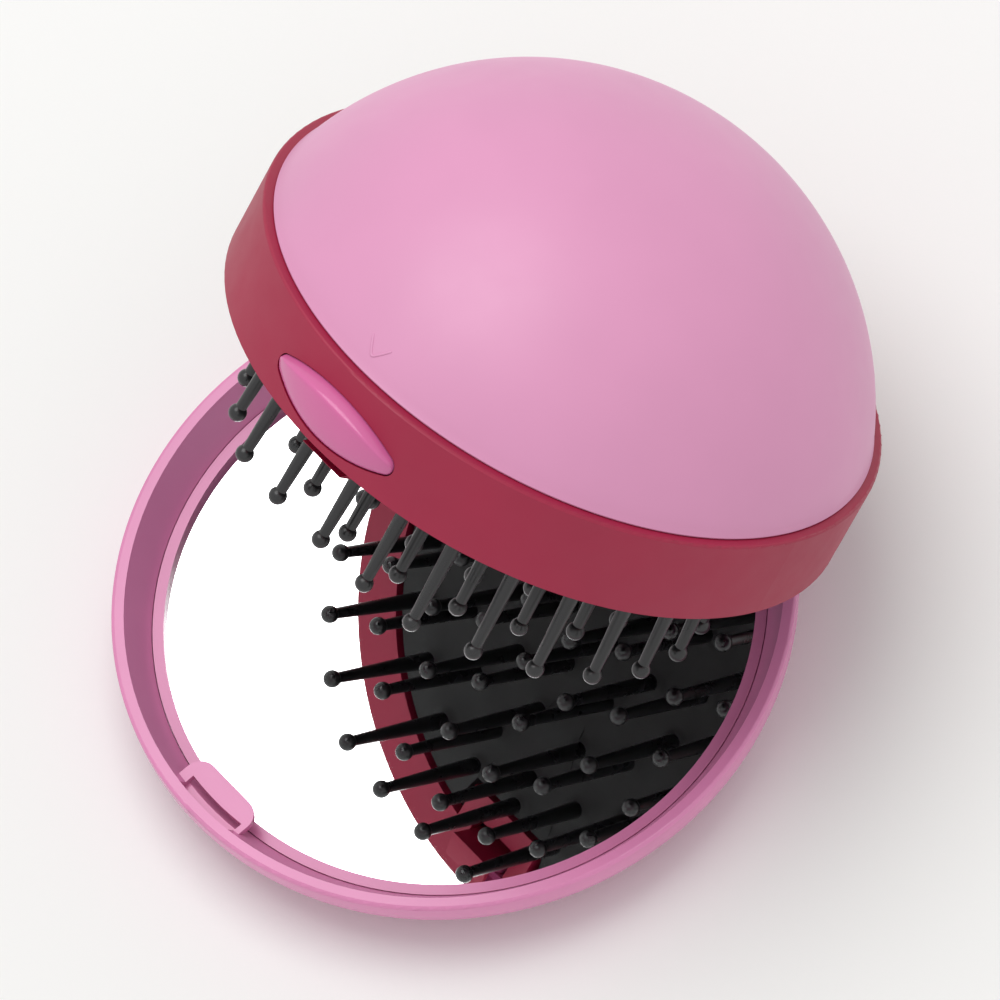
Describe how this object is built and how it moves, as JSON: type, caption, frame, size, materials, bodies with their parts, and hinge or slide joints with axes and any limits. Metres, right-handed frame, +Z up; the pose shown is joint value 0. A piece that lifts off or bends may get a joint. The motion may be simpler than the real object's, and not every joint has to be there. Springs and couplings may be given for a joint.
{
  "type": "folding hair brush",
  "caption": "Round folding pocket hair brush with a mirror in its lid: the domed half swings up on a hinge, ball-tipped pins pop out of it, and a push button frees the catch.",
  "frame": {"origin": "centre of the lid's flat base", "axes": "+Z up out of the lid, +Y towards the hinge, X along the hinge"},
  "size_m": [0.0744, 0.0891, 0.0712],
  "materials": {
    "lid_pink": "smooth moulded, pale pink",
    "dome_pink": "smooth moulded, pale pink",
    "button_pink": "smooth moulded, pink",
    "ring_magenta": "smooth moulded, dark pink",
    "pin_black": "smooth moulded, black",
    "black_plastic": "plain moulded, black",
    "cushion_rubber": "dull black",
    "mirror": "silvered glass",
    "adhesive_pad": "white foam tape",
    "steel": "bright steel"
  },
  "bodies": {
    "lid": {"lid_shell": "lid_pink", "mirror_glass": "mirror", "mirror_pad": "adhesive_pad", "mirror_bezel": "lid_pink", "hinge_pin": "steel", "hinge_spring": "steel"},
    "brush_half": {"body_ring": "ring_magenta", "dome_cover": "dome_pink", "guide_plate": "black_plastic", "plate_screws": "steel", "latch_housing": "ring_magenta", "latch_tongue": "ring_magenta", "pop_spring": "steel"},
    "button": {"push_button": "button_pink"},
    "pin_bed": {"bed_cushion": "cushion_rubber", "bed_carrier": "black_plastic", "push_legs": "black_plastic", "pins_centre": "pin_black", "pins_ring_1": "pin_black", "pins_ring_2": "pin_black", "pins_ring_3": "pin_black", "pins_ring_4": "pin_black"}
  },
  "joints": [
    {"name": "lid_hinge", "type": "hinge", "parent": "lid", "child": "brush_half", "pos_m": [0, 0.04, 0.0025], "axis": [1, 0, 0], "range_deg": [0, 43.5], "stiffness_Nm_per_rad": 0.01, "springref_deg": -51.57, "deforming": ["hinge_spring", "latch_tongue"]},
    {"name": "button_press", "type": "slide", "parent": "brush_half", "child": "button", "axis": [0, 0.7254, -0.6884], "range_m": [0, 0.0015], "stiffness_N_per_m": 500, "springref_m": -0.0006, "deforming": ["latch_tongue"]},
    {"name": "bed_pop", "type": "slide", "parent": "brush_half", "child": "pin_bed", "axis": [0, 0.6884, 0.7254], "range_m": [0, 0.0114], "stiffness_N_per_m": 30, "springref_m": -0.006, "deforming": ["pop_spring"]}
  ],
  "couplings": [
    {"joint": "bed_pop", "follows": "lid_hinge", "m_per_rad": 0.015018}
  ]
}
